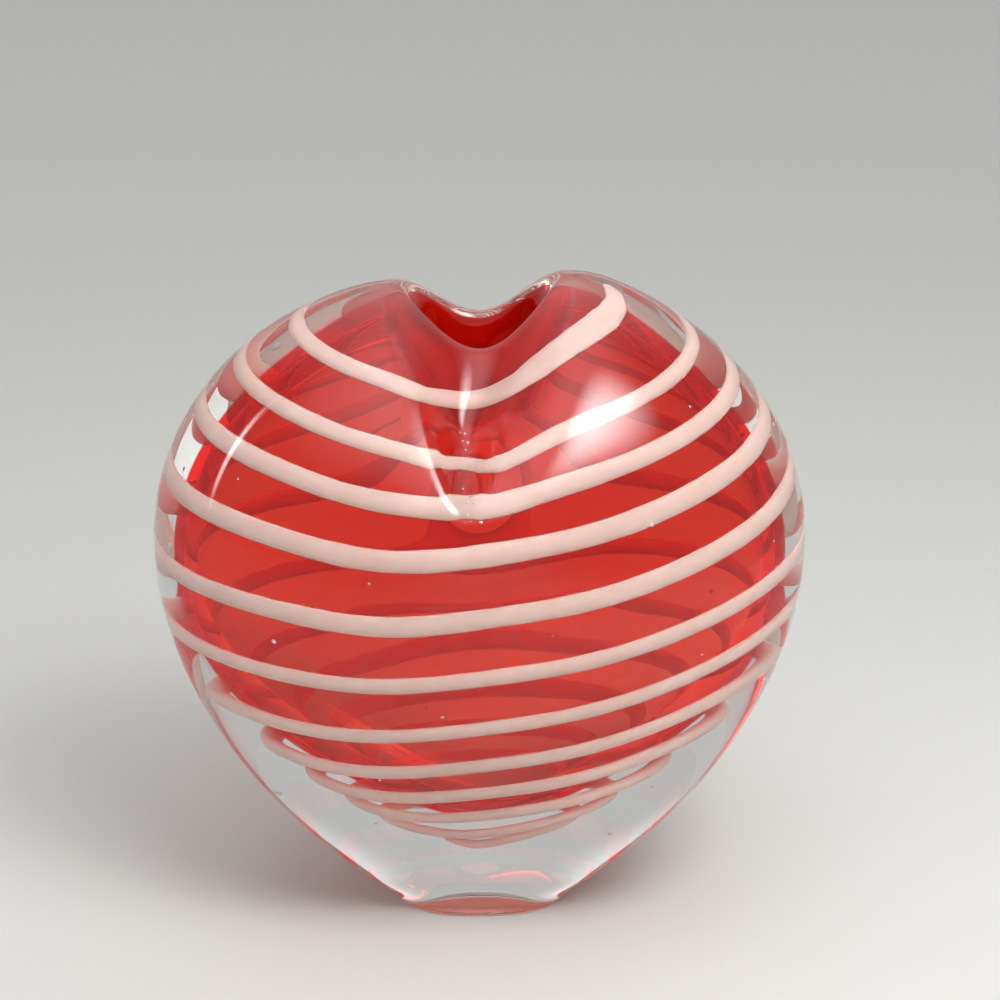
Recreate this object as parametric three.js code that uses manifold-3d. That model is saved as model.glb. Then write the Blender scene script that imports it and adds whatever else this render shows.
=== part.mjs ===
// A heart of cased blown glass that stands on a polished base and holds a single stem.
// Four layers lie inside one another: a ruby bubble with the cavity in it, a first clear gather
// over the bubble, a white trail wound into that gather, and a second clear gather that makes the
// heavy outer body. Each layer is first drawn as the oval bulb that is blown, by the half width,
// the half depth and the height of its walls. One press of the knife then turns every layer into
// the heart: it pushes the crown down between two lobes and folds a crease into front and back.
import * as THREE from 'three';
import { mergeVertices } from 'three/addons/utils/BufferGeometryUtils.js';
import Module from 'manifold-3d';

// Outer body, millimetres. The front is -Y, +Z is up, and the base stands on Z = 0.
const bodyWidth = 99;
const bodyDepth = 67;
const widestHeight = 58;
const bulbHeight = 107.8;
const baseWidth = 27.6;
const baseDepth = 24;
const baseEdge = 0.5;

// Mouth, before the press folds it, and the rounding of its lip.
const mouthWidth = 19.9;
const mouthDepth = 16.9;
const lipRound = 0.5;
const lipCasing = 0.8;
const lipSlope = 0.9;

// Glass between one surface and the next, from the outside in.
const casingSide = 5;
const casingFront = 5;
const casingFloor = 13;
const gatherSide = 5.2;
const gatherFront = 15;
const gatherFloor = 7.8;
const gatherEdge = 0.9;
const gatherSetback = 2.5;
const rubyWall = 1.4;
const neckLength = 4.8;
const seam = 0.4;

// Fullness of each wall: how far its curve handles reach.
const footFlareSide = 2.5;
const footFlareFront = -5;
const footRise = 3.3;
const gatherFoot = 0.28;
const rubyFoot = 0.23;
const casingCurve = { drop: 32, rise: 22.3, shoulder: { width: 0.635, depth: 0.72, drop: 9 } };
const gatherCurve = { drop: 16, rise: 21.3, shoulder: { width: 0.68, depth: 0.72, drop: 7.6 } };
const rubyCurve = { drop: 23.5, rise: 16, shoulder: { width: 0.62, depth: 0.66, drop: 16 } };
const slantShare = 0.7;

// The press. The broad push draws the whole crown down, the knife folds the lip and the crease, and
// the glass beside the crease puffs out at front and back.
const pushDepth = 9;
const pushHalfWidth = 28;
const pushFrom = 18;
const pushTo = 98;
const knifeDepth = 8.1;
const knifeHalfWidth = 10;
const knifeOffset = 0.6;
const knifeFrom = 68;
const knifeTo = 108;
const lipTip = 0.8;
const lipTipReach = 8;
const lobeLift = 0.9;
const lobeLiftReach = 13.8;
const creaseDepth = 0.26;
const creaseAtLip = 0.12;
const creaseFrom = 81;
const creasePeak = 97;
const creaseFootHalfWidth = 1.5;
const creaseLipHalfWidth = 9.5;
const creaseOffset = -2.3;
const puffDepth = 0.11;
const puffHalfWidth = 16;
const puffFrom = 62;
const puffTo = 90;

// The white trail: one unbroken thread, wound clockwise from the right lobe down to the foot.
const trailTurns = 11.4;
const trailStartBelowEdge = 1;
const trailEndAboveFoot = 4.5;
const trailStartPitch = 9.9;
const trailEndPitch = 0.5;
const trailStartWidth = 3.1;
const trailEndWidth = 2.4;
const trailHeadExtra = 1.6;
const trailHeadTurns = 0.25;
const trailThickness = 1.9;
const trailSink = 0.6;
const wobbleHeight = 3.2;
const wobblePeriod = 6;
const wobbleTurn = 2;
const wobbleFade = 6.7;
const swellWidth = 0.6;
const swellPeriod = 5;
const swellTurn = 2.35;
const swellFade = 7.9;
const sideSlant = 3.8;
const sideSlantTurn = 6;
const sideSlantSpread = 3.2;
const frontSlant = 3.8;
const rideHeight = 5.8;
const rideFade = 4.2;
const rideHalfWidth = 14;
const grooveClearance = 0.3;
const grooveReach = 1.4;

// How finely the curves are divided.
const segments = 44;
const creaseCrowding = 0.33;
const rows = { casing: [8, 11], gather: [6, 10], ruby: [6, 9] };
const trailSteps = 22;
const trailSides = 6;
const trailTipSteps = 3;
const wallSamples = 240;
const probe = 0.002;

const smooth = (t) => THREE.MathUtils.smoothstep(t, 0, 1);
const between = (value, low, high) => smooth((value - low) / (high - low));
const bell = (value, halfWidth) => Math.exp(-((value / halfWidth) ** 2));
const trough = (value, halfWidth) => Math.max(0, 1 - (value / halfWidth) ** 2) ** 2;
const wave = (turn, from, period) => Math.sin((2 * Math.PI * (turn - from)) / period);

// Where the press carries a point of the blown bulb.
function press(x, y, z) {
  const push = between(z, pushFrom, pushTo);
  const knife = between(z, knifeFrom, knifeTo);
  const nearLip = between(z, creasePeak, bulbHeight);
  const along = THREE.MathUtils.clamp((z - creaseFrom) / (bulbHeight - creaseFrom), 0, 1);
  const creaseHalfWidth = THREE.MathUtils.lerp(creaseFootHalfWidth, creaseLipHalfWidth, along);
  const rise = creaseDepth * between(z, creaseFrom, creasePeak);
  const creaseCentre = creaseOffset * (1 - nearLip);
  const pinch = (rise + (creaseAtLip - creaseDepth) * nearLip) * trough(x - creaseCentre, creaseHalfWidth);
  const knifeHere = knifeDepth - lipTip * Math.tanh(y / lipTipReach);
  const cut = knifeHere * knife * bell(x - knifeOffset, knifeHalfWidth);
  const drop = pushDepth * push * bell(x, pushHalfWidth) + cut;
  const lean = x / lobeLiftReach;
  const lift = lobeLift * push * lean * Math.exp((1 - lean ** 2) / 2);
  const puff = puffDepth * between(z, puffFrom, puffTo) * (1 - nearLip) * bell(x, puffHalfWidth);
  return new THREE.Vector3(x, y * (1 - pinch + puff), z - drop + lift);
}

// Angle of a step round the bulb, with the steps crowded towards the crease at front and back.
const crowded = (turn) => 2 * Math.PI * turn + creaseCrowding * Math.sin(4 * Math.PI * turn);

const pointOn = ([halfWidth, halfDepth, height], angle) =>
  press(halfWidth * Math.cos(angle), halfDepth * Math.sin(angle), height);

// A wall of the bulb: a foot, a waist and a neck, joined by two cubic curves of rings.
// Each ring is (half width, half depth, height).
function makeWall(foot, footHandle, waist, curve, neck) {
  const [halfWidth, halfDepth, height] = waist;
  const { width, depth, drop } = curve.shoulder;
  return {
    foot,
    footHandle,
    lowHandle: [halfWidth, halfDepth, height - curve.drop],
    waist,
    highHandle: [halfWidth, halfDepth, height + curve.rise],
    shoulder: [width * halfWidth, depth * halfDepth, neck[2] - drop],
    neck,
  };
}

// The same wall moved outwards, or inwards where the distance is negative.
function moved(wall, distance) {
  const shift = ([w, d, h], side, up) => [w + side * distance, d + side * distance, h + up * distance];
  return {
    foot: shift(wall.foot, 0, -1),
    footHandle: shift(wall.footHandle, 0, -1),
    lowHandle: shift(wall.lowHandle, 1, 0),
    waist: shift(wall.waist, 1, 0),
    highHandle: shift(wall.highHandle, 1, 0),
    shoulder: shift(wall.shoulder, slantShare, slantShare),
    neck: shift(wall.neck, 1, 1),
  };
}

// Rings of a wall from its foot up to its neck.
function ringsOf(wall, [lowRows, highRows]) {
  const vector = (ring) => new THREE.Vector3(...ring);
  const curveOf = (...rings) => new THREE.CubicBezierCurve3(...rings.map(vector));
  const lower = curveOf(wall.foot, wall.footHandle, wall.lowHandle, wall.waist);
  const upper = curveOf(wall.waist, wall.highHandle, wall.shoulder, wall.neck);
  const points = [...lower.getPoints(lowRows), ...upper.getPoints(highRows).slice(1)];
  return points.map((point) => point.toArray());
}

// A closed body through a list of rings that starts and ends with a point on the axis. Walls that
// climb and walls that fall are split along the same diagonals, so that facing walls stay apart.
function loft(rings) {
  const positions = [];
  const triangles = [];
  const last = rings.length - 1;
  const pole = (ring) => positions.push(...pointOn(ring, 0).toArray());
  pole(rings[0]);
  for (const ring of rings.slice(1, last)) {
    for (let i = 0; i < segments; i += 1) {
      positions.push(...pointOn(ring, crowded(i / segments)).toArray());
    }
  }
  pole(rings[last]);
  const index = (row, i) => 1 + (row - 1) * segments + (i % segments);
  const end = positions.length / 3 - 1;
  for (let i = 0; i < segments; i += 1) {
    triangles.push(0, index(1, i + 1), index(1, i));
    for (let row = 1; row < last - 1; row += 1) {
      const [a, b, c, d] = [index(row, i), index(row, i + 1), index(row + 1, i + 1), index(row + 1, i)];
      const climbs = rings[row + 1][2] > rings[row][2];
      triangles.push(...(climbs ? [a, b, c, a, c, d] : [a, b, d, b, c, d]));
    }
    triangles.push(end, index(last - 1, i), index(last - 1, i + 1));
  }
  return closed(positions, triangles);
}

function closed(positions, triangles) {
  const geometry = new THREE.BufferGeometry();
  geometry.setAttribute('position', new THREE.Float32BufferAttribute(positions, 3));
  geometry.setIndex(triangles);
  return geometry;
}

// Half width and half depth of a wall at a height.
function wallAt(wall) {
  const samples = ringsOf(wall, [wallSamples, wallSamples]);
  return (height) => {
    const above = samples.findIndex((ring) => ring[2] >= height);
    const high = Math.max(above < 0 ? samples.length - 1 : above, 1);
    const share = (height - samples[high - 1][2]) / (samples[high][2] - samples[high - 1][2]);
    const mix = (k) => THREE.MathUtils.lerp(samples[high - 1][k], samples[high][k], share);
    return [mix(0), mix(1), height];
  };
}

// Height on the blown bulb at which the trail lies after so many turns.
function trailHeight(turn, start, end) {
  const t = turn / trailTurns;
  const startTangent = -trailStartPitch * trailTurns;
  const endTangent = -trailEndPitch * trailTurns;
  const eased = (2 * t ** 3 - 3 * t ** 2 + 1) * start + (3 * t ** 2 - 2 * t ** 3) * end
    + (t ** 3 - 2 * t ** 2 + t) * startTangent + (t ** 3 - t ** 2) * endTangent;
  const angle = -2 * Math.PI * turn;
  const hand = wobbleHeight * Math.exp(-turn / wobbleFade) * wave(turn, wobbleTurn, wobblePeriod);
  const slant = sideSlant * bell(turn - sideSlantTurn, sideSlantSpread);
  return eased + hand + slant * Math.cos(angle) + frontSlant * Math.sin(angle);
}

function trailWidth(turn) {
  const taper = THREE.MathUtils.lerp(trailStartWidth, trailEndWidth, smooth(turn / trailTurns));
  const hand = swellWidth * Math.exp(-turn / swellFade) * wave(turn, swellTurn, swellPeriod);
  return taper + hand + trailHeadExtra * Math.exp(-turn / trailHeadTurns);
}

// Places along the trail, each with its point on the gather and the directions across and out.
function trailPlaces(wall) {
  const ringAt = wallAt(wall);
  const start = wall.neck[2] - trailStartBelowEdge;
  const end = wall.foot[2] + trailEndAboveFoot;
  const steps = Math.round(trailTurns * trailSteps);
  const at = (turn, shift) => {
    const angle = -2 * Math.PI * turn;
    const height = trailHeight(turn, start, end);
    const x = ringAt(height)[0] * Math.cos(angle);
    const ride = rideHeight * Math.exp(-turn / rideFade) * bell(x, rideHalfWidth);
    return pointOn(ringAt(height + ride + shift), angle);
  };
  return Array.from({ length: steps + 1 }, (_, step) => {
    const turn = crowded((step / steps) * trailTurns) / (2 * Math.PI);
    const point = at(turn, 0);
    const along = at(turn + probe, 0).sub(at(turn - probe, 0)).normalize();
    const up = at(turn, probe).sub(at(turn, -probe));
    const out = up.clone().cross(along).normalize();
    const across = out.clone().cross(along).normalize();
    const fromTip = Math.min(step, steps - step) + 1;
    const tip = Math.sqrt(Math.min(1, fromTip / (trailTipSteps + 1)));
    return { turn, point, out, across, width: trailWidth(turn) * tip, thickness: trailThickness * tip };
  });
}

const cornerOf = (place, [across, out]) =>
  place.point.clone().addScaledVector(place.across, across).addScaledVector(place.out, out);

// A tube through the places, with a section of (across, out) pairs at each.
function tube(places, section) {
  const positions = [];
  const triangles = [];
  const sides = section(places[0]).length;
  for (const place of places) {
    for (const pair of section(place)) {
      positions.push(...cornerOf(place, pair).toArray());
    }
  }
  for (let row = 0; row < places.length - 1; row += 1) {
    for (let i = 0; i < sides; i += 1) {
      const [a, b] = [row * sides + i, row * sides + ((i + 1) % sides)];
      triangles.push(a, b, b + sides, a, b + sides, a + sides);
    }
  }
  const far = (places.length - 1) * sides;
  for (let i = 1; i < sides - 1; i += 1) {
    triangles.push(0, i + 1, i, far, far + i, far + i + 1);
  }
  return closed(positions, triangles);
}

// The trail's own section: a flattened round whose crown lies just under the gather's surface.
function trailSection({ width, thickness }) {
  const middle = -trailSink - trailThickness / 2;
  return Array.from({ length: trailSides }, (_, i) => {
    const angle = (2 * Math.PI * i) / trailSides;
    return [(width / 2) * Math.cos(angle), middle + (thickness / 2) * Math.sin(angle)];
  });
}

// The section of its groove: the lower half of the trail with its clearance, open to the outside.
function grooveSection(place) {
  const width = place.width + 2 * grooveClearance;
  const round = trailSection({ width, thickness: place.thickness + 2 * grooveClearance });
  return [...round.slice(trailSides / 2), round[0], [width / 2, grooveReach], [-width / 2, grooveReach]];
}

// The least gap between turns of the trail, measured on the corners of its sections.
function leastTrailGap(places) {
  const corners = places.map((place) => trailSection(place).map((pair) => cornerOf(place, pair)));
  let least = Infinity;
  for (let a = 0; a < places.length; a += 1) {
    for (let b = a + trailSteps / 2; b < places.length; b += 1) {
      for (const p of corners[a]) {
        for (const q of corners[b]) {
          least = Math.min(least, p.distanceTo(q));
        }
      }
    }
  }
  return least;
}

const wasm = await Module();
wasm.setup();

function solid(geometry) {
  const merged = mergeVertices(geometry);
  const vertProperties = Float32Array.from(merged.attributes.position.array);
  const triVerts = Uint32Array.from(merged.index.array);
  return new wasm.Manifold(new wasm.Mesh({ numProp: 3, vertProperties, triVerts }));
}

function geometryOf(manifold) {
  const mesh = manifold.getMesh();
  return closed(Array.from(mesh.vertProperties), Array.from(mesh.triVerts));
}

// Walls of the four layers, from the outside in. The necks nest outwards from the mouth.
const rubyNeck = [mouthWidth / 2 + rubyWall, mouthDepth / 2 + rubyWall];
const gatherInset = seam + gatherEdge;
const gatherNeck = rubyNeck.map((half) => half + gatherInset);
const lip = gatherNeck.map((half) => half + lipCasing);
const gatherTop = bulbHeight - gatherSetback;
const base = [baseWidth / 2, baseDepth / 2];

const casingWall = makeWall(
  [...base, baseEdge],
  [base[0] + footFlareSide, base[1] + footFlareFront, footRise],
  [bodyWidth / 2, bodyDepth / 2, widestHeight],
  casingCurve,
  [...lip, bulbHeight - lipSlope],
);
const gatherWaist = [bodyWidth / 2 - casingSide, bodyDepth / 2 - casingFront];
const gatherWall = makeWall(
  [0, 0, casingFloor],
  [gatherFoot * gatherWaist[0], gatherFoot * gatherWaist[1], casingFloor],
  [...gatherWaist, widestHeight],
  gatherCurve,
  [...gatherNeck, gatherTop],
);
const rubyWaist = [gatherWaist[0] - gatherSide, gatherWaist[1] - gatherFront];
const rubyBottom = casingFloor + gatherFloor;
const rubySkin = makeWall(
  [0, 0, rubyBottom],
  [rubyFoot * rubyWaist[0], rubyFoot * rubyWaist[1], rubyBottom],
  [...rubyWaist, widestHeight],
  rubyCurve,
  [...rubyNeck, bulbHeight - neckLength],
);

const inset = (ring, distance, height) => [ring[0] - distance, ring[1] - distance, height];
const downwards = (wall, count) => ringsOf(wall, count).reverse();

// The outer gather: polished base, outer wall, rolled lip, and the bed that holds the layers inside.
function outerCasing() {
  const bore = rubyNeck.map((half) => half + seam);
  return loft([
    [0, 0, 0],
    inset(base, baseEdge, 0),
    ...ringsOf(casingWall, rows.casing),
    inset(lip, lipCasing, bulbHeight - lipRound),
    [...bore, bulbHeight - lipRound],
    [...bore, gatherTop + seam],
    ...downwards(moved(gatherWall, seam), rows.gather),
  ]);
}

// The first gather, with the groove that the trail was pressed into.
function clearGather(places) {
  const bed = moved(rubySkin, seam);
  const body = loft([
    ...ringsOf(gatherWall, rows.gather),
    [bed.neck[0], bed.neck[1], gatherTop],
    ...downwards(bed, rows.ruby),
  ]);
  return geometryOf(solid(body).subtract(solid(tube(places, grooveSection))));
}

// The ruby bubble: its skin, its rounded lip and the wall of the cavity.
function rubyLining() {
  const cavity = moved(rubySkin, -rubyWall);
  return loft([
    ...ringsOf(rubySkin, rows.ruby),
    [...rubyNeck, bulbHeight - lipRound],
    inset(rubyNeck, lipRound, bulbHeight),
    inset(rubyNeck, rubyWall, bulbHeight - lipRound),
    ...downwards(cavity, rows.ruby),
  ]);
}

const glass = (color, roughness) => new THREE.MeshStandardMaterial({ color, roughness, metalness: 0 });
const clearGlass = glass('#e8eeea', 0.04);
const rubyGlass = glass('#c8160c', 0.05);
const opalGlass = glass('#f3e3da', 0.2);

const heart = new THREE.Group();
function addPiece(name, geometry, material) {
  const mesh = new THREE.Mesh(geometry, material);
  mesh.name = name;
  heart.add(mesh);
}

const trail = trailPlaces(gatherWall);
addPiece('outer_casing', outerCasing(), clearGlass);
addPiece('clear_gather', clearGather(trail), clearGlass);
addPiece('white_trail', tube(trail, trailSection), opalGlass);
addPiece('ruby_lining', rubyLining(), rubyGlass);

console.log(`least gap of the trail to itself: ${leastTrailGap(trail).toFixed(2)} mm`);

export default heart;
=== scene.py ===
"""Glass heart paperweight: a ruby bubble and a white trail in clear glass, pressed into a heart."""

import math

import bpy
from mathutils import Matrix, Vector, noise
from mathutils.geometry import interpolate_bezier


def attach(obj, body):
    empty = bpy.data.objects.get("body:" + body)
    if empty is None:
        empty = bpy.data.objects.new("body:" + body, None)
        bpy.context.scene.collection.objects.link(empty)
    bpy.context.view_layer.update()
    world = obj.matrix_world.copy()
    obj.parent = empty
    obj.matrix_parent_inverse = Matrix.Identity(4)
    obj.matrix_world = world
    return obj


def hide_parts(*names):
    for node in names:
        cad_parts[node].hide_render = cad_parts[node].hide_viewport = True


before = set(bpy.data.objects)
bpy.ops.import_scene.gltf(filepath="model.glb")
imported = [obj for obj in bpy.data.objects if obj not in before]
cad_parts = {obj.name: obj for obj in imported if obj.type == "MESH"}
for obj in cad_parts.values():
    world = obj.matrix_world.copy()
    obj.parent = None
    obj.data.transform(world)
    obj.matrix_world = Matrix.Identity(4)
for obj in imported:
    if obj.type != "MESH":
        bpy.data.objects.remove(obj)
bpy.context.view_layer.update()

bl_info = {
    "name": "Glass Heart Paperweight",
    "version": (1, 0, 0),
    "blender": (4, 5, 0),
    "location": "View3D > Sidebar > Glass Heart",
    "description": "Models a cased glass heart with a ruby core and a wound white trail",
    "category": "Add Mesh",
}

MM = 0.001
BODY = "root"
FLOOR_GAP = 0.05

# The press that turns the blown bulb into a heart, in millimetres.
PUSH_HALF_WIDTH = 28.0
PUSH_FROM = 18.0
PUSH_TO = 98.0
KNIFE_HALF_WIDTH = 10.0
KNIFE_OFFSET = 0.6
KNIFE_FROM = 68.0
KNIFE_TO = 108.0
LIP_TIP = 0.8
LIP_TIP_REACH = 8.0
LOBE_LIFT = 0.9
LOBE_LIFT_REACH = 13.8
CREASE_AT_LIP = 0.12
CREASE_FROM = 81.0
CREASE_PEAK = 97.0
CREASE_FOOT_HALF_WIDTH = 1.5
CREASE_LIP_HALF_WIDTH = 9.5
CREASE_OFFSET = -2.3
PUFF_DEPTH = 0.11
PUFF_HALF_WIDTH = 16.0
PUFF_FROM = 62.0
PUFF_TO = 90.0

# Fullness of the walls before pressing. The waist is the middle one of the seven rings that give a wall.
FOOT_FLARE_SIDE = 2.5
FOOT_FLARE_FRONT = -5.0
FOOT_RISE = 3.3
SECTION_FULLNESS = 0.65
BASE_FULLNESS = 0.3
FULL_FROM = 5.0
BASE_EDGE = 0.5
GROUND_BELOW = 0.01
GATHER_FOOT = 0.28
RUBY_FOOT = 0.23
CASING_CURVE = {"drop": 32.0, "rise": 22.3, "wide": 0.635, "deep": 0.72, "below": 11.1}
GATHER_CURVE = {"drop": 16.0, "rise": 21.3, "wide": 0.68, "deep": 0.72, "below": 7.6}
RUBY_CURVE = {"drop": 23.5, "rise": 16.0, "wide": 0.62, "deep": 0.66, "below": 16.0}
SLANT_SHARE = 0.7
WAIST = 3
NECK_LENGTH = 4.8
GATHER_SETBACK = 2.5
SEAM = 0.4
GATHER_EDGE = 0.9
LIP_CASING = 0.8
LIP_SLOPE = 0.9
LIP_ROLL = 3.0
LIP_FULLNESS = 0.1
RUBY_BELOW_LIP = 0.9
INNER_SKIN = 0.12

# The hand that wound the trail: how its height and width swing from turn to turn, and how its turns
# ride up where the press folds the glass.
WOBBLE_HEIGHT = 3.2
WOBBLE_PERIOD = 6.0
WOBBLE_TURN = 2.0
WOBBLE_FADE = 6.7
SWELL_WIDTH = 0.6
SWELL_PERIOD = 5.0
SWELL_TURN = 2.35
SWELL_FADE = 7.9
SIDE_SLANT = 3.8
SIDE_SLANT_TURN = 6.0
SIDE_SLANT_SPREAD = 3.2
FRONT_SLANT = 3.8
RIDE_HEIGHT = 5.8
RIDE_FADE = 4.2
RIDE_HALF_WIDTH = 14.0
TRAIL_START_BELOW_EDGE = 1.0
TRAIL_END_ABOVE_FOOT = 4.5
TRAIL_START_PITCH = 9.9
TRAIL_END_PITCH = 0.5
TRAIL_HEAD_EXTRA = 1.6
TRAIL_HEAD_FROM = 0.2
TRAIL_HEAD_TO = 0.28
TRAIL_HEAD_RIDE = 1.6
TRAIL_SINK = 0.6

# The ends of the trail are blunt over so many steps, and its edge is uneven, most of all at the head.
TIP_STEPS = 12.0
TIP_START = 0.6
UNEVEN_WIDTH = 0.09
UNEVEN_SCALE = 0.5
HEAD_UNEVEN_WIDTH = 0.14
HEAD_UNEVEN_SCALE = 1.9

# Where the ruby thickens at the neck, in millimetres, and how much of it then shows its own red. The red
# is full at the given part of that share.
NECK_RED_FROM = 74.0
NECK_RED_TO = 84.0
NECK_RED_SHARE = 0.5
NECK_RED_FULL_AT = 0.25
NECK_RADIUS = 11.5
NECK_REACH = 15.0

# The glass itself, with the widths and depths of its patterns in millimetres.
GLASS_IOR = 1.52
CORD_WIDTH = 14.0
CORD_DEPTH = 0.12
STREAK_WIDTH = 3.0
OPAL_DEPTH = 1.2
RUBY_DENSITY = 1800.0

# Sockets of a Mix node that mixes colours, which share their names with those for other kinds of data.
MIX_SHARE = 0
MIX_FIRST = 6
MIX_SECOND = 7
MIX_RESULT = 2

# Air seeds: where they lie between the first gather and the outside, and how they are drawn out.
GOLDEN_ANGLE = math.pi * (3.0 - math.sqrt(5.0))
SEED_LOWEST = 16.0
SEED_HIGHEST = 86.0
SEED_DEPTH = 0.35
SEED_LEAST = 0.35
SEED_STRETCH = 1.25
FOLD_LOWEST = 78.0
FOLD_HIGHEST = 97.0
FOLD_SPREAD = 3.2
FOLD_SEED = 0.55
SPACING = (0.7549, 0.5698)

# How finely the pieces are drawn. The rows of a wall are counted below and above its widest place.
CASING_ROWS = (26, 30)
BUBBLE_ROWS = (22, 28)
TRAIL_WALL_ROWS = (160, 160)
SEED_WALL_ROWS = (60, 60)
BASE_ROWS = 4
LIP_RINGS = 10
RUBY_EDGE_ROWS = 5
SEGMENTS = 144
ROUNDING_LEVELS = 1
TRAIL_STEPS_PER_TURN = 120
TRAIL_SIDES = 12
TRAIL_PROBE = 0.002
SEED_SEGMENTS = 16
SEED_RINGS = 10
MERGE_BELOW = 0.001

# How much brighter the middle of a soft box is than its mean, where it fades to nothing at the edge.
LAMP_MIDDLE = 3.33

# The stage: floor and lamps are in metres, what the lamps look at and where the camera stands are in
# millimetres, and angles are in degrees.
FLOOR_SIZE = 6.0
LAMP_AIM = 60.0
STUDIO_AS_LIGHT = 0.3
STUDIO_AS_SEEN = 0.6
CAMERA_BACK = 375.9
CAMERA_HEIGHT = 186.8
CAMERA_TILT = 18.094
CAMERA_TURN = -0.468
CAMERA_LENS = 93.9
CAMERA_SENSOR = 36.0
GLASS_BOUNCES = 40


class HeartSizes(bpy.types.PropertyGroup):
    """Sizes of the heart."""

    body_width: bpy.props.FloatProperty(
        name="Body width", description="Width across both lobes", default=99.0 * MM, unit="LENGTH")
    body_depth: bpy.props.FloatProperty(
        name="Body depth", description="Depth from front to back", default=67.0 * MM, unit="LENGTH")
    widest_height: bpy.props.FloatProperty(
        name="Widest height", description="Height of the widest place", default=58.0 * MM, unit="LENGTH")
    bulb_height: bpy.props.FloatProperty(
        name="Bulb height", description="Height of the blown bulb before it is pressed", default=107.8 * MM,
        unit="LENGTH")
    base_width: bpy.props.FloatProperty(
        name="Base width", description="Width of the ground base", default=27.6 * MM, unit="LENGTH")
    base_depth: bpy.props.FloatProperty(
        name="Base depth", description="Depth of the ground base", default=24.0 * MM, unit="LENGTH")
    mouth_width: bpy.props.FloatProperty(
        name="Mouth width", description="Clear width of the mouth before pressing", default=19.9 * MM,
        unit="LENGTH")
    mouth_depth: bpy.props.FloatProperty(
        name="Mouth depth", description="Clear depth of the mouth before pressing", default=16.9 * MM,
        unit="LENGTH")
    casing_wall: bpy.props.FloatProperty(
        name="Casing wall", description="Clear glass over the trail, at the sides", default=5.0 * MM,
        unit="LENGTH")
    casing_floor: bpy.props.FloatProperty(
        name="Casing floor", description="Clear glass under the first gather", default=13.0 * MM,
        unit="LENGTH")
    gather_side: bpy.props.FloatProperty(
        name="Gather side", description="Clear glass between ruby and trail, at the sides", default=5.2 * MM,
        unit="LENGTH")
    gather_front: bpy.props.FloatProperty(
        name="Gather front", description="Clear glass between ruby and trail, at the front",
        default=15.0 * MM, unit="LENGTH")
    gather_floor: bpy.props.FloatProperty(
        name="Gather floor", description="Clear glass under the ruby bubble", default=7.8 * MM,
        unit="LENGTH")
    ruby_wall: bpy.props.FloatProperty(
        name="Ruby wall", description="Thickness of the ruby bubble", default=1.4 * MM, unit="LENGTH")
    push_depth: bpy.props.FloatProperty(
        name="Push depth", description="How far the crown is pushed down", default=9.0 * MM, unit="LENGTH")
    knife_depth: bpy.props.FloatProperty(
        name="Knife depth", description="How far the knife folds the lip", default=8.1 * MM, unit="LENGTH")
    crease_depth: bpy.props.FloatProperty(
        name="Crease depth", description="Share of the depth that the crease takes", default=0.26,
        subtype="FACTOR")
    trail_turns: bpy.props.FloatProperty(
        name="Trail turns", description="Turns of the white trail", default=11.4)
    trail_start_width: bpy.props.FloatProperty(
        name="Trail start width", description="Width of the trail at the top", default=3.1 * MM,
        unit="LENGTH")
    trail_end_width: bpy.props.FloatProperty(
        name="Trail end width", description="Width of the trail at the foot", default=2.4 * MM,
        unit="LENGTH")
    trail_thickness: bpy.props.FloatProperty(
        name="Trail thickness", description="Thickness of the flattened trail", default=1.9 * MM,
        unit="LENGTH")
    seed_count: bpy.props.IntProperty(
        name="Seeds", description="Air seeds in the clear glass", default=40)
    fold_seed_count: bpy.props.IntProperty(
        name="Fold seeds", description="Fine air seeds under the fold at the front", default=30)
    seed_width: bpy.props.FloatProperty(
        name="Seed width", description="Width of the largest seed", default=0.8 * MM, unit="LENGTH")


def linear(code):
    """Linear colour of an sRGB hex value."""
    parts = [int(code[i:i + 2], 16) / 255.0 for i in (1, 3, 5)]
    return [p / 12.92 if p <= 0.04045 else ((p + 0.055) / 1.055) ** 2.4 for p in parts]


class HeartColours(bpy.types.PropertyGroup):
    """Colours of the glass and of the stage."""

    clear: bpy.props.FloatVectorProperty(
        name="Clear glass", description="Tint of the clear glass", default=linear("#fdfefd"), size=3,
        subtype="COLOR")
    ruby: bpy.props.FloatVectorProperty(
        name="Ruby glass", description="What the ruby glass lets through", default=linear("#ff7c19"),
        size=3, subtype="COLOR")
    ruby_thick: bpy.props.FloatVectorProperty(
        name="Thick ruby glass", description="The red of the ruby at the neck", default=linear("#d91b0d"),
        size=3, subtype="COLOR")
    opal: bpy.props.FloatVectorProperty(
        name="Opal glass", description="Dense white of the trail", default=linear("#fee7dd"), size=3,
        subtype="COLOR")
    opal_thin: bpy.props.FloatVectorProperty(
        name="Thin opal glass", description="The trail where it is thin", default=linear("#fbcdbf"), size=3,
        subtype="COLOR")
    # Painted light: the salmon of the ground base stands for the red light that falls on it through the ruby
    # above; the ground glass itself is white.
    ground: bpy.props.FloatVectorProperty(
        name="Ground base", description="Ground base under the red", default=linear("#f0a390"), size=3,
        subtype="COLOR")
    floor: bpy.props.FloatVectorProperty(
        name="Floor", description="Pale floor", default=linear("#c0c0bd"), size=3, subtype="COLOR")
    studio: bpy.props.FloatVectorProperty(
        name="Studio", description="Pale studio round the stage", default=linear("#e4e6e6"), size=3,
        subtype="COLOR")


def smooth(t):
    t = min(max(t, 0.0), 1.0)
    return t * t * (3.0 - 2.0 * t)


def between(value, low, high):
    return smooth((value - low) / (high - low))


def bell(value, half_width):
    return math.exp(-((value / half_width) ** 2))


def trough(value, half_width):
    return max(0.0, 1.0 - (value / half_width) ** 2) ** 2


def wave(turn, start, period):
    return math.sin(2 * math.pi * (turn - start) / period)


def mix(a, b, share):
    return a + (b - a) * share


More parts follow.
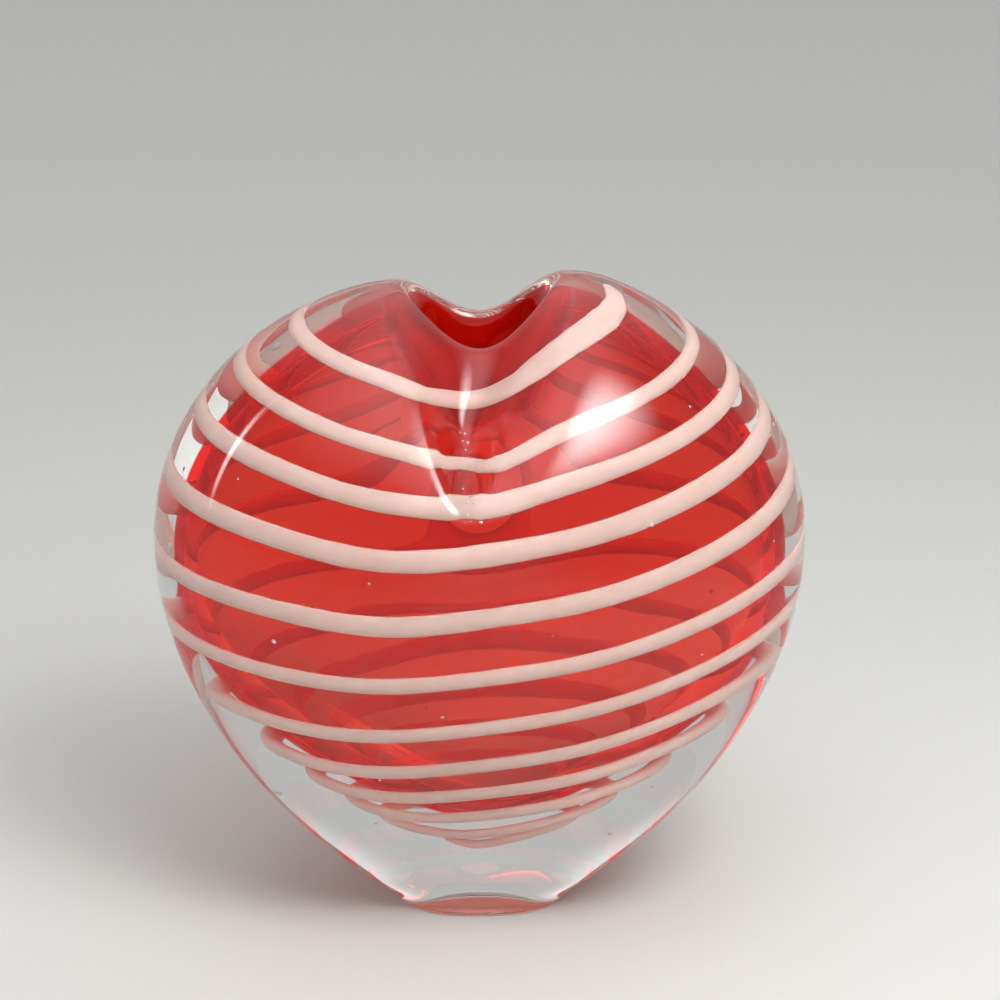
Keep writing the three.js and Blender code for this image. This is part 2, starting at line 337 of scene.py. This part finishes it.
def pressed(point, sizes):
    """Where the press carries a point of the blown bulb, both in millimetres."""
    x, y, z = point
    top = sizes.bulb_height / MM
    depth = sizes.crease_depth
    push = between(z, PUSH_FROM, PUSH_TO)
    knife = between(z, KNIFE_FROM, KNIFE_TO)
    near_lip = between(z, CREASE_PEAK, top)
    along = min(max((z - CREASE_FROM) / (top - CREASE_FROM), 0.0), 1.0)
    half_width = mix(CREASE_FOOT_HALF_WIDTH, CREASE_LIP_HALF_WIDTH, along)
    rise = depth * between(z, CREASE_FROM, CREASE_PEAK)
    centre = CREASE_OFFSET * (1.0 - near_lip)
    pinch = (rise + (CREASE_AT_LIP - depth) * near_lip) * trough(x - centre, half_width)
    knife_here = sizes.knife_depth / MM - LIP_TIP * math.tanh(y / LIP_TIP_REACH)
    cut = knife_here * knife * bell(x - KNIFE_OFFSET, KNIFE_HALF_WIDTH)
    drop = sizes.push_depth / MM * push * bell(x, PUSH_HALF_WIDTH) + cut
    lean = x / LOBE_LIFT_REACH
    lift = LOBE_LIFT * push * lean * math.exp((1.0 - lean ** 2) / 2)
    puff = PUFF_DEPTH * between(z, PUFF_FROM, PUFF_TO) * (1.0 - near_lip) * bell(x, PUFF_HALF_WIDTH)
    return Vector((x, y * (1.0 - pinch + puff), z - drop + lift))


def bulb_wall(foot, foot_handle, waist, curve, neck):
    """A wall as the rings of two cubic curves: each ring is half width, half depth and height."""
    width, depth, height = waist
    return [
        Vector(foot),
        Vector(foot_handle),
        Vector((width, depth, height - curve["drop"])),
        Vector(waist),
        Vector((width, depth, height + curve["rise"])),
        Vector((curve["wide"] * width, curve["deep"] * depth, neck[2] - curve["below"])),
        Vector(neck),
    ]


def moved(wall, distance):
    """The same wall moved outwards, or inwards where the distance is negative."""
    shares = [(0, -1), (0, -1), (1, 0), (1, 0), (1, 0), (SLANT_SHARE, SLANT_SHARE), (1, 1)]
    return [ring + distance * Vector((side, side, up)) for ring, (side, up) in zip(wall, shares)]


def rings_of(wall, low_rows, high_rows):
    """Rings of a wall from its foot up to its neck."""
    foot, foot_handle, low_handle, waist, high_handle, shoulder, neck = wall
    lower = interpolate_bezier(foot, foot_handle, low_handle, waist, low_rows + 1)
    upper = interpolate_bezier(waist, high_handle, shoulder, neck, high_rows + 1)
    return lower + upper[1:]


def neck_sizes(sizes):
    """Half sizes of the necks of ruby, gather and casing, which nest outwards from the mouth."""
    ruby = Vector((sizes.mouth_width, sizes.mouth_depth)) / (2 * MM) + Vector((1, 1)) * sizes.ruby_wall / MM
    gather = ruby + Vector((1, 1)) * (SEAM + GATHER_EDGE)
    return ruby, gather, gather + Vector((1, 1)) * LIP_CASING


def casing_wall(sizes):
    base = Vector((sizes.base_width, sizes.base_depth)) / (2 * MM)
    _, _, lip = neck_sizes(sizes)
    waist = (sizes.body_width / (2 * MM), sizes.body_depth / (2 * MM), sizes.widest_height / MM)
    return bulb_wall(
        (base.x, base.y, BASE_EDGE),
        (base.x + FOOT_FLARE_SIDE, base.y + FOOT_FLARE_FRONT, FOOT_RISE),
        waist,
        CASING_CURVE,
        (lip.x, lip.y, sizes.bulb_height / MM - LIP_SLOPE),
    )


def gather_wall(sizes):
    """The wall that carries the trail, inside the clear glass."""
    wall = sizes.casing_wall / MM
    bottom = sizes.casing_floor / MM
    waist = (
        sizes.body_width / (2 * MM) - wall,
        sizes.body_depth / (2 * MM) - wall,
        sizes.widest_height / MM,
    )
    _, neck, _ = neck_sizes(sizes)
    return bulb_wall(
        (0, 0, bottom),
        (GATHER_FOOT * waist[0], GATHER_FOOT * waist[1], bottom),
        waist,
        GATHER_CURVE,
        (neck.x, neck.y, sizes.bulb_height / MM - GATHER_SETBACK),
    )


def ruby_skin(sizes):
    """The outer wall of the ruby bubble."""
    outer = gather_wall(sizes)[WAIST]
    bottom = (sizes.casing_floor + sizes.gather_floor) / MM
    waist = (outer.x - sizes.gather_side / MM, outer.y - sizes.gather_front / MM, outer.z)
    neck, _, _ = neck_sizes(sizes)
    return bulb_wall(
        (0, 0, bottom),
        (RUBY_FOOT * waist[0], RUBY_FOOT * waist[1], bottom),
        waist,
        RUBY_CURVE,
        (neck.x, neck.y, sizes.bulb_height / MM - NECK_LENGTH),
    )


def arc(start, middle, end, rows):
    """Rings of a rounded edge from one ring over a middle ring to another, without its ends."""
    rings = []
    for row in range(1, rows):
        turn = math.pi * row / rows
        side = mix(start, end, (1.0 - math.cos(turn)) / 2.0)
        crown = middle.z - mix(start.z, end.z, 0.5)
        rings.append(Vector((side.x, side.y, side.z + crown * math.sin(turn))))
    return rings


def lathe(name, rings, fullness=lambda ring: 0.0):
    """Draws a bulb's profile point by point, spins it about the axis and makes it oval, not yet pressed.

    Fullness squares a ring's oval off towards the sides, where zero leaves it a plain oval.
    """
    bpy.ops.object.select_all(action="DESELECT")
    bpy.ops.mesh.primitive_plane_add(size=1.0)
    piece = bpy.context.object
    piece.name = piece.data.name = name
    bpy.ops.object.mode_set(mode="EDIT")
    bpy.ops.mesh.select_all(action="SELECT")
    bpy.ops.mesh.merge(type="CENTER")
    at = Vector((0, 0, 0))
    for ring in rings:
        step = Vector((ring.x, 0, ring.z)) * MM - at
        if ring is rings[0]:
            bpy.ops.transform.translate(value=step)
        else:
            bpy.ops.mesh.extrude_region_move(TRANSFORM_OT_translate={"value": step})
        at = at + step
    bpy.ops.object.mode_set(mode="OBJECT")
    carried = {"half_depth": [ring.y * MM for ring in rings], "fullness": [fullness(ring) for ring in rings]}
    for key, values in carried.items():
        piece.data.attributes.new(key, "FLOAT", "POINT").data.foreach_set("value", values)
    bpy.ops.object.mode_set(mode="EDIT")
    bpy.ops.mesh.select_all(action="SELECT")
    bpy.ops.mesh.spin(
        steps=SEGMENTS, angle=2 * math.pi, center=(0, 0, 0), axis=(0, 0, 1), use_auto_merge=True)
    bpy.ops.mesh.select_all(action="SELECT")
    bpy.ops.mesh.remove_doubles(threshold=MERGE_BELOW * MM)
    bpy.ops.mesh.normals_make_consistent(inside=False)
    bpy.ops.object.mode_set(mode="OBJECT")
    depths, squares = [piece.data.attributes[key].data for key in carried]
    for vertex, depth, squared in zip(piece.data.vertices, depths, squares):
        radius = max(math.hypot(vertex.co.x, vertex.co.y), MERGE_BELOW * MM)
        towards_side = (vertex.co.x / radius) ** 2
        vertex.co.y *= depth.value / radius * (1.0 + squared.value * towards_side)
    for key in carried:
        piece.data.attributes.remove(piece.data.attributes[key])
    return piece


def press_piece(piece, sizes):
    """Presses a lathed bulb into the heart."""
    for vertex in piece.data.vertices:
        vertex.co = pressed(vertex.co / MM, sizes) * MM


def refine(piece):
    """Rounds the facets off and shades the piece smooth."""
    bpy.ops.object.select_all(action="DESELECT")
    piece.select_set(True)
    bpy.context.view_layer.objects.active = piece
    rounding = piece.modifiers.new("Rounding", "SUBSURF")
    rounding.levels = ROUNDING_LEVELS
    rounding.render_levels = ROUNDING_LEVELS
    bpy.ops.object.modifier_apply(modifier=rounding.name)
    bpy.ops.object.shade_smooth()


def finish_piece(piece, slot, *nodes):
    """Puts a piece into the frame in place of the solids it stands for."""
    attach(piece, BODY)
    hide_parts(*nodes)


def add_node(tree, kind, settings=None, inputs=None, links=None):
    """Adds a node, sets its options and sockets, and links sockets from other nodes' outputs."""
    node = tree.nodes.new(kind)
    for key, value in (settings or {}).items():
        setattr(node, key, value)
    for key, value in (inputs or {}).items():
        node.inputs[key].default_value = value
    for key, output in (links or {}).items():
        tree.links.new(output, node.inputs[key])
    return node


def new_material(name):
    material = bpy.data.materials.new(name)
    material.use_nodes = True
    material.node_tree.nodes.clear()
    return material, material.node_tree


def per_metre(millimetres):
    """Scale of a pattern whose features are so many millimetres wide."""
    return 1.0 / (millimetres * MM)


def clear_glass(colours):
    """Soda-lime glass, blown and fire polished: clear to the bottom, with faint cords from the gathering."""
    material, tree = new_material("clear soda-lime glass, fire polished")
    place = add_node(tree, "ShaderNodeTexCoord")
    cords = add_node(
        tree, "ShaderNodeTexNoise",
        inputs={"Scale": per_metre(CORD_WIDTH), "Detail": 2.0, "Roughness": 0.45},
        links={"Vector": place.outputs["Object"]})
    waves = add_node(
        tree, "ShaderNodeBump",
        inputs={"Strength": 0.25, "Distance": CORD_DEPTH * MM},
        links={"Height": cords.outputs["Fac"]})
    surface = add_node(
        tree, "ShaderNodeBsdfPrincipled",
        inputs={
            "Base Color": (*colours.clear, 1.0),
            "Roughness": 0.0,
            "IOR": GLASS_IOR,
            "Transmission Weight": 1.0,
        },
        links={"Normal": waves.outputs["Normal"]})
    add_node(tree, "ShaderNodeOutputMaterial", links={"Surface": surface.outputs["BSDF"]})
    return material


def ground_glass_painted_red_light(colours):
    """The base, ground flat on a wheel: a matt face, white in the glass itself, whose salmon colour is
    painted red light from the ruby above.
    """
    material, tree = new_material("soda-lime glass, ground, painted red light")
    surface = add_node(
        tree, "ShaderNodeBsdfPrincipled",
        inputs={
            "Base Color": (*colours.ground, 1.0),
            "Roughness": 0.7,
            "IOR": GLASS_IOR,
        })
    add_node(tree, "ShaderNodeOutputMaterial", links={"Surface": surface.outputs["BSDF"]})
    return material


def ruby_glass(colours):
    """Gold-ruby glass between two fused faces: only the red it lets through is seen.

    At the neck, where the bubble was least blown out, it is thick enough to glow red by itself.
    """
    material, tree = new_material("ruby glass, fused")
    place = add_node(tree, "ShaderNodeTexCoord")
    axes = add_node(tree, "ShaderNodeSeparateXYZ", links={"Vector": place.outputs["Object"]})
    flat = add_node(tree, "ShaderNodeCombineXYZ", links={"X": axes.outputs["X"], "Y": axes.outputs["Y"]})
    from_axis = add_node(
        tree, "ShaderNodeVectorMath", settings={"operation": "LENGTH"}, links={0: flat.outputs["Vector"]})
    inside = add_node(
        tree, "ShaderNodeMapRange",
        settings={"interpolation_type": "SMOOTHSTEP"},
        inputs={
            "From Min": NECK_RADIUS * MM,
            "From Max": NECK_REACH * MM,
            "To Min": NECK_RED_SHARE,
            "To Max": 0.0,
        },
        links={"Value": from_axis.outputs["Value"]})
    above = add_node(
        tree, "ShaderNodeMapRange",
        settings={"interpolation_type": "SMOOTHSTEP"},
        inputs={"From Min": NECK_RED_FROM * MM, "From Max": NECK_RED_TO * MM},
        links={"Value": axes.outputs["Z"]})
    thickness = add_node(
        tree, "ShaderNodeMath",
        settings={"operation": "MULTIPLY"},
        links={0: inside.outputs["Result"], 1: above.outputs["Result"]})
    through = add_node(
        tree, "ShaderNodeMath",
        settings={"operation": "SUBTRACT"},
        inputs={0: 1.0},
        links={1: thickness.outputs["Value"]})
    tinted = add_node(
        tree, "ShaderNodeMapRange",
        inputs={"From Max": NECK_RED_SHARE * NECK_RED_FULL_AT},
        links={"Value": thickness.outputs["Value"]})
    tint = add_node(
        tree, "ShaderNodeMix",
        settings={"data_type": "RGBA"},
        inputs={MIX_FIRST: (1.0, 1.0, 1.0, 1.0), MIX_SECOND: (*colours.ruby_thick, 1.0)},
        links={MIX_SHARE: tinted.outputs["Result"]})
    surface = add_node(
        tree, "ShaderNodeBsdfPrincipled",
        inputs={"Roughness": 0.0, "IOR": 1.0, "Specular IOR Level": 0.0},
        links={"Base Color": tint.outputs[MIX_RESULT], "Transmission Weight": through.outputs["Value"]})
    depth = add_node(
        tree, "ShaderNodeVolumeAbsorption",
        inputs={"Color": (*colours.ruby, 1.0), "Density": RUBY_DENSITY})
    add_node(
        tree, "ShaderNodeOutputMaterial",
        links={"Surface": surface.outputs["BSDF"], "Volume": depth.outputs["Volume"]})
    return material


def opal_glass(colours):
    """Opal glass drawn as a hot thread: dense and white, thinner and pinker in streaks along its length."""
    material, tree = new_material("opal glass thread, fused")
    place = add_node(tree, "ShaderNodeTexCoord")
    streaks = add_node(
        tree, "ShaderNodeTexNoise",
        inputs={"Scale": per_metre(STREAK_WIDTH), "Detail": 4.0, "Roughness": 0.6},
        links={"Vector": place.outputs["Object"]})
    density = add_node(
        tree, "ShaderNodeMix",
        settings={"data_type": "RGBA"},
        inputs={MIX_FIRST: (*colours.opal, 1.0), MIX_SECOND: (*colours.opal_thin, 1.0)},
        links={MIX_SHARE: streaks.outputs["Fac"]})
    surface = add_node(
        tree, "ShaderNodeBsdfPrincipled",
        inputs={
            "Roughness": 0.6,
            "Specular IOR Level": 0.0,
            "Subsurface Weight": 0.15,
            "Subsurface Radius": (1.0, 0.6, 0.5),
            "Subsurface Scale": OPAL_DEPTH * MM,
        },
        links={"Base Color": density.outputs[MIX_RESULT]})
    add_node(tree, "ShaderNodeOutputMaterial", links={"Surface": surface.outputs["BSDF"]})
    return material


class HEART_OT_clear_body(bpy.types.Operator):
    """Model the clear glass of both gathers, from the ground base over the lip down into the cavity."""

    bl_idname = "heart.clear_body"
    bl_label = "Clear body"

    def execute(self, context):
        sizes = context.scene.heart_sizes
        base = Vector((sizes.base_width, sizes.base_depth)) / (2 * MM)
        casing = casing_wall(sizes)
        cavity = moved(ruby_skin(sizes), -sizes.ruby_wall / MM)
        top = sizes.bulb_height / MM
        outer_lip = casing[-1]
        outer_handle = outer_lip + LIP_FULLNESS * (outer_lip - casing[-2])
        inner_lip = Vector((cavity[-1].x, cavity[-1].y, top - LIP_ROLL))
        inner_handle = Vector((inner_lip.x, inner_lip.y, top + LIP_SLOPE))
        rings = [Vector((0, 0, 0)), Vector((base.x / 2, base.y / 2, 0))]
        rings += [Vector((base.x - edge, base.y - edge, 0)) for edge in (4 * BASE_EDGE, 2 * BASE_EDGE)]
        for row in range(BASE_ROWS):
            turn = math.pi / 2 * row / BASE_ROWS
            shrink = BASE_EDGE * (1 - math.sin(turn))
            rings.append(Vector((base.x - shrink, base.y - shrink, BASE_EDGE * (1 - math.cos(turn)))))
        rings += rings_of(casing, *CASING_ROWS)
        outer_rings = list(rings)
        rings += interpolate_bezier(outer_lip, outer_handle, inner_handle, inner_lip, LIP_RINGS)[1:]
        rings += rings_of(cavity, *BUBBLE_ROWS)[::-1]

        def fullness(ring):
            full = mix(BASE_FULLNESS, SECTION_FULLNESS, between(ring.z, 0.0, FULL_FROM))
            full *= 1.0 - between(ring.z, 0.0, casing[WAIST].z)
            return full if any(ring is outer for outer in outer_rings) else 0.0

        piece = lathe("clear_body", rings, fullness)
        refine(piece)
        press_piece(piece, sizes)
        piece.data.materials.append(clear_glass(context.scene.heart_colours))
        # The faces of the base get the ground glass, painted salmon for the red light from the ruby above.
        piece.data.materials.append(ground_glass_painted_red_light(context.scene.heart_colours))
        for face in piece.data.polygons:
            face.material_index = int(face.center.z < GROUND_BELOW * MM)
        finish_piece(piece, "clear_glass", "outer_casing", "clear_gather")
        return {"FINISHED"}


class HEART_OT_ruby_lining(bpy.types.Operator):
    """Model the ruby bubble that lines the cavity, fused into the clear glass."""

    bl_idname = "heart.ruby_lining"
    bl_label = "Ruby lining"

    def execute(self, context):
        sizes = context.scene.heart_sizes
        skin = ruby_skin(sizes)
        inner = moved(skin, INNER_SKIN - sizes.ruby_wall / MM)
        top = sizes.bulb_height / MM
        outer_edge = Vector((skin[-1].x, skin[-1].y, top - LIP_ROLL))
        inner_edge = Vector((inner[-1].x, inner[-1].y, top - LIP_ROLL))
        rings = rings_of(skin, *BUBBLE_ROWS)
        rings.append(outer_edge)
        rings += arc(outer_edge, Vector((0, 0, top - RUBY_BELOW_LIP)), inner_edge, RUBY_EDGE_ROWS)
        rings.append(inner_edge)
        rings += rings_of(inner, *BUBBLE_ROWS)[::-1]
        piece = lathe("ruby_lining", rings)
        refine(piece)
        press_piece(piece, sizes)
        piece.data.materials.append(ruby_glass(context.scene.heart_colours))
        finish_piece(piece, "ruby_glass", "ruby_lining")
        return {"FINISHED"}


def trail_height(turn, sizes, wall):
    """Height on the blown bulb at which the trail lies after so many turns."""
    turns = sizes.trail_turns
    t = turn / turns
    start = wall[-1].z - TRAIL_START_BELOW_EDGE
    end = wall[0].z + TRAIL_END_ABOVE_FOOT
    eased = (2 * t ** 3 - 3 * t ** 2 + 1) * start + (3 * t ** 2 - 2 * t ** 3) * end
    first_pitch = (t ** 3 - 2 * t ** 2 + t) * TRAIL_START_PITCH * turns
    last_pitch = (t ** 3 - t ** 2) * TRAIL_END_PITCH * turns
    eased -= first_pitch + last_pitch
    angle = -2 * math.pi * turn
    hand = WOBBLE_HEIGHT * math.exp(-turn / WOBBLE_FADE) * wave(turn, WOBBLE_TURN, WOBBLE_PERIOD)
    slant = SIDE_SLANT * bell(turn - SIDE_SLANT_TURN, SIDE_SLANT_SPREAD)
    head = TRAIL_HEAD_RIDE * smooth(turn / TRAIL_HEAD_FROM)
    head *= 1.0 - between(turn, TRAIL_HEAD_FROM, TRAIL_HEAD_TO)
    return eased + hand + head + slant * math.cos(angle) + FRONT_SLANT * math.sin(angle)


def trail_width(turn, sizes):
    """Width of the trail, which the hand lets swell and thin, with a thick head where it was laid on."""
    start, end = sizes.trail_start_width / MM, sizes.trail_end_width / MM
    hand = SWELL_WIDTH * math.exp(-turn / SWELL_FADE) * wave(turn, SWELL_TURN, SWELL_PERIOD)
    head = TRAIL_HEAD_EXTRA * (1.0 - between(turn, TRAIL_HEAD_FROM, TRAIL_HEAD_TO))
    return mix(start, end, smooth(turn / sizes.trail_turns)) + hand + head


def ring_at(samples, height):
    """Ring of a sampled wall at a height."""
    for low, high in zip(samples, samples[1:]):
        if high.z >= height:
            break
    return low + (high - low) * ((height - low.z) / (high.z - low.z))


class HEART_OT_white_trail(bpy.types.Operator):
    """Wind the white trail round the first gather, from the right lobe down to the foot."""

    bl_idname = "heart.white_trail"
    bl_label = "White trail"

    def execute(self, context):
        sizes = context.scene.heart_sizes
        wall = gather_wall(sizes)
        samples = rings_of(wall, *TRAIL_WALL_ROWS)
        turns = sizes.trail_turns
        steps = round(turns * TRAIL_STEPS_PER_TURN)
        thickness = sizes.trail_thickness / MM

        def place(turn, shift=0.0):
            angle = -2 * math.pi * turn
            height = trail_height(turn, sizes, wall)
            x = ring_at(samples, height).x * math.cos(angle)
            ride = RIDE_HEIGHT * math.exp(-turn / RIDE_FADE) * bell(x, RIDE_HALF_WIDTH)
            ring = ring_at(samples, height + ride + shift)
            return pressed((ring.x * math.cos(angle), ring.y * math.sin(angle), ring.z), sizes)

        frames = []
        for step in range(steps + 1):
            turn = turns * step / steps
            point = place(turn)
            along = (place(turn + TRAIL_PROBE) - place(turn - TRAIL_PROBE)).normalized()
            up = place(turn, TRAIL_PROBE) - place(turn, -TRAIL_PROBE)
            out = up.cross(along).normalized()
            from_tip = (min(step, steps - step) + TIP_START) / TIP_STEPS
            blunt = math.sqrt(min(1.0, from_tip))
            uneven = UNEVEN_WIDTH * noise.noise(point * UNEVEN_SCALE)
            uneven += HEAD_UNEVEN_WIDTH * math.exp(-turn) * noise.noise(point * HEAD_UNEVEN_SCALE)
            width = trail_width(turn, sizes) * blunt * (1.0 + uneven)
            frames.append((point, out.cross(along), out, width / 2, blunt * thickness / 2))

        bpy.ops.object.select_all(action="DESELECT")
        bpy.ops.mesh.primitive_grid_add(x_subdivisions=steps, y_subdivisions=TRAIL_SIDES, size=2.0)
        piece = context.object
        piece.name = piece.data.name = "white_trail"
        # The flat grid runs from -1 to 1, along the trail in x and once round it in y.
        for vertex in piece.data.vertices:
            point, across, out, half_width, half_thickness = frames[round((vertex.co.x + 1) / 2 * steps)]
            turn = math.pi * (vertex.co.y + 1)
            middle = -TRAIL_SINK - thickness / 2
            side = half_width * math.cos(turn) * across
            crown = (middle + half_thickness * math.sin(turn)) * out
            vertex.co = (point + side + crown) * MM
        bpy.ops.object.mode_set(mode="EDIT")
        bpy.ops.mesh.select_all(action="SELECT")
        bpy.ops.mesh.remove_doubles(threshold=MERGE_BELOW * MM)
        bpy.ops.mesh.select_all(action="DESELECT")
        bpy.ops.mesh.select_non_manifold()
        bpy.ops.mesh.edge_face_add()
        bpy.ops.mesh.select_all(action="SELECT")
        bpy.ops.mesh.normals_make_consistent(inside=False)
        bpy.ops.object.mode_set(mode="OBJECT")
        refine(piece)
        piece.data.materials.append(opal_glass(context.scene.heart_colours))
        finish_piece(piece, "opal_glass", "white_trail")
        return {"FINISHED"}


def seed_places(sizes):
    """Places and widths of the air seeds: some all round the heart, and finer ones under the fold."""
    inner = rings_of(gather_wall(sizes), *SEED_WALL_ROWS)
    outer = rings_of(casing_wall(sizes), *SEED_WALL_ROWS)

    def place(angle, height, depth):
        ring = mix(ring_at(inner, height), ring_at(outer, height), depth)
        return pressed((ring.x * math.cos(angle), ring.y * math.sin(angle), height), sizes) * MM

    for number in range(sizes.seed_count):
        height = mix(SEED_LOWEST, SEED_HIGHEST, (number + 0.5) / sizes.seed_count)
        point = place(number * GOLDEN_ANGLE, height, SEED_DEPTH)
        yield point, sizes.seed_width * mix(SEED_LEAST, 1.0, noise.cell(point / MM) ** 2)
    for number in range(sizes.fold_seed_count):
        along, across = [(number * spacing) % 1.0 for spacing in SPACING]
        height = mix(FOLD_LOWEST, FOLD_HIGHEST, along)
        offset = CREASE_OFFSET + FOLD_SPREAD * (across - 0.5)
        angle = offset / ring_at(outer, height).x - math.pi / 2
        point = place(angle, height, across * along)
        yield point, sizes.seed_width * FOLD_SEED * mix(SEED_LEAST, 1.0, noise.cell(point / MM))


class HEART_OT_air_seeds(bpy.types.Operator):
    """Leave small air bubbles in the clear glass, drawn out a little as the gather was turned."""

    bl_idname = "heart.air_seeds"
    bl_label = "Air seeds"

    def execute(self, context):
        body = bpy.data.objects["clear_body"]
        seeds = []
        for place, width in seed_places(context.scene.heart_sizes):
            bpy.ops.mesh.primitive_uv_sphere_add(
                segments=SEED_SEGMENTS, ring_count=SEED_RINGS, radius=width / 2, location=place)
            bpy.ops.object.mode_set(mode="EDIT")
            bpy.ops.mesh.select_all(action="SELECT")
            bpy.ops.transform.resize(value=(SEED_STRETCH, 1.0, 1.0))
            bpy.ops.mesh.flip_normals()
            bpy.ops.object.mode_set(mode="OBJECT")
            bpy.ops.object.shade_smooth()
            seeds.append(context.object)
        bpy.ops.object.select_all(action="DESELECT")
        for piece in (*seeds, body):
            piece.select_set(True)
        context.view_layer.objects.active = body
        bpy.ops.object.join()
        return {"FINISHED"}


def floor_material(colours):
    """Matt paint on board: even and pale, with no gloss to compete with the glass."""
    material, tree = new_material("matt pale board")
    surface = add_node(
        tree, "ShaderNodeBsdfPrincipled",
        inputs={"Base Color": (*colours.floor, 1.0), "Roughness": 0.9, "Specular IOR Level": 0.1})
    add_node(tree, "ShaderNodeOutputMaterial", links={"Surface": surface.outputs["BSDF"]})
    return material


def add_lamp(name, azimuth, elevation, distance, width, height, power):
    """A soft box that looks at the heart. Azimuth 0 is in front, positive to the right."""
    a, e = math.radians(azimuth), math.radians(elevation)
    aim = Vector((0, 0, LAMP_AIM * MM))
    place = aim + distance * Vector((math.sin(a) * math.cos(e), -math.cos(a) * math.cos(e), math.sin(e)))
    lamp = bpy.data.lights.new(name, "AREA")
    lamp.shape = "ELLIPSE"
    lamp.size = width
    lamp.size_y = height
    lamp.energy = power
    lamp.use_nodes = True
    tree = lamp.node_tree
    tree.nodes.clear()
    place_on_lamp = add_node(tree, "ShaderNodeNewGeometry")
    from_middle = add_node(
        tree, "ShaderNodeVectorMath",
        settings={"operation": "DISTANCE"},
        inputs={1: (0.5, 0.5, 0.0)},
        links={0: place_on_lamp.outputs["Parametric"]})
    fade = add_node(
        tree, "ShaderNodeMapRange",
        settings={"interpolation_type": "SMOOTHSTEP"},
        inputs={"From Min": 0.0, "From Max": 0.5, "To Min": LAMP_MIDDLE, "To Max": 0.0},
        links={"Value": from_middle.outputs["Value"]})
    glow = add_node(tree, "ShaderNodeEmission", links={"Strength": fade.outputs["Result"]})
    add_node(tree, "ShaderNodeOutputLight", links={"Surface": glow.outputs["Emission"]})
    holder = bpy.data.objects.new(name, lamp)
    bpy.context.collection.objects.link(holder)
    holder.location = place
    holder.rotation_euler = (aim - place).to_track_quat("-Z", "Y").to_euler()


class HEART_OT_stage(bpy.types.Operator):
    """Set the pale floor, the soft lamps and the camera of the photograph's view."""

    bl_idname = "heart.stage"
    bl_label = "Stage"

    def execute(self, context):
        scene = context.scene
        bpy.ops.object.select_all(action="DESELECT")
        bpy.ops.mesh.primitive_plane_add(size=FLOOR_SIZE)
        floor = context.object
        floor.name = "floor"
        floor.location.z = -FLOOR_GAP * MM
        floor.data.materials.append(floor_material(scene.heart_colours))

        world = bpy.data.worlds.new("studio")
        world.use_nodes = True
        tree = world.node_tree
        tree.nodes.clear()
        # Seen straight, through the glass or mirrored in it the studio is pale. As light it is weak.
        path = add_node(tree, "ShaderNodeLightPath")
        seen = add_node(
            tree, "ShaderNodeMath",
            settings={"operation": "MAXIMUM"},
            links={0: path.outputs["Is Camera Ray"], 1: path.outputs["Is Transmission Ray"]})
        mirrored = add_node(
            tree, "ShaderNodeMath",
            settings={"operation": "MAXIMUM"},
            links={0: seen.outputs["Value"], 1: path.outputs["Is Glossy Ray"]})
        strength = add_node(
            tree, "ShaderNodeMapRange",
            inputs={"To Min": STUDIO_AS_LIGHT, "To Max": STUDIO_AS_SEEN},
            links={"Value": mirrored.outputs["Value"]})
        sky = add_node(
            tree, "ShaderNodeBackground",
            inputs={"Color": (*scene.heart_colours.studio, 1.0)},
            links={"Strength": strength.outputs["Result"]})
        add_node(tree, "ShaderNodeOutputWorld", links={"Surface": sky.outputs["Background"]})
        scene.world = world

        add_lamp("window", azimuth=36, elevation=47, distance=0.36, width=0.34, height=0.29, power=1.35)
        add_lamp("left strip", azimuth=-88, elevation=22, distance=1.0, width=0.08, height=0.9, power=0.7)
        add_lamp("overhead", azimuth=0, elevation=64, distance=4.0, width=9.6, height=8.0, power=115.0)
        add_lamp("behind", azimuth=180, elevation=60, distance=4.0, width=9.6, height=8.0, power=60.0)

        lens = bpy.data.cameras.new("camera")
        lens.sensor_width = CAMERA_SENSOR
        lens.lens = CAMERA_LENS
        camera = bpy.data.objects.new("camera", lens)
        context.collection.objects.link(camera)
        camera.location = (0, -CAMERA_BACK * MM, CAMERA_HEIGHT * MM)
        camera.rotation_euler = (math.radians(90.0 - CAMERA_TILT), 0.0, math.radians(CAMERA_TURN))
        scene.camera = camera
        scene.view_settings.view_transform = "Standard"
        scene.cycles.max_bounces = GLASS_BOUNCES
        scene.cycles.transmission_bounces = GLASS_BOUNCES
        scene.cycles.glossy_bounces = GLASS_BOUNCES
        return {"FINISHED"}


class HEART_PT_panel(bpy.types.Panel):
    """Lists the steps of the heart."""

    bl_label = "Glass Heart"
    bl_idname = "HEART_PT_panel"
    bl_space_type = "VIEW_3D"
    bl_region_type = "UI"
    bl_category = "Glass Heart"

    def draw(self, context):
        for operator in OPERATORS:
            self.layout.operator(operator.bl_idname)


OPERATORS = (
    HEART_OT_clear_body,
    HEART_OT_ruby_lining,
    HEART_OT_white_trail,
    HEART_OT_air_seeds,
    HEART_OT_stage,
)
CLASSES = (HeartSizes, HeartColours, *OPERATORS, HEART_PT_panel)


def register():
    for cls in CLASSES:
        bpy.utils.register_class(cls)
    bpy.types.Scene.heart_sizes = bpy.props.PointerProperty(type=HeartSizes)
    bpy.types.Scene.heart_colours = bpy.props.PointerProperty(type=HeartColours)


def unregister():
    del bpy.types.Scene.heart_colours
    del bpy.types.Scene.heart_sizes
    for cls in reversed(CLASSES):
        bpy.utils.unregister_class(cls)


def main():
    register()
    bpy.ops.heart.clear_body()
    bpy.ops.heart.ruby_lining()
    bpy.ops.heart.white_trail()
    bpy.ops.heart.air_seeds()
    bpy.ops.heart.stage()


if __name__ == "__main__":
    main()
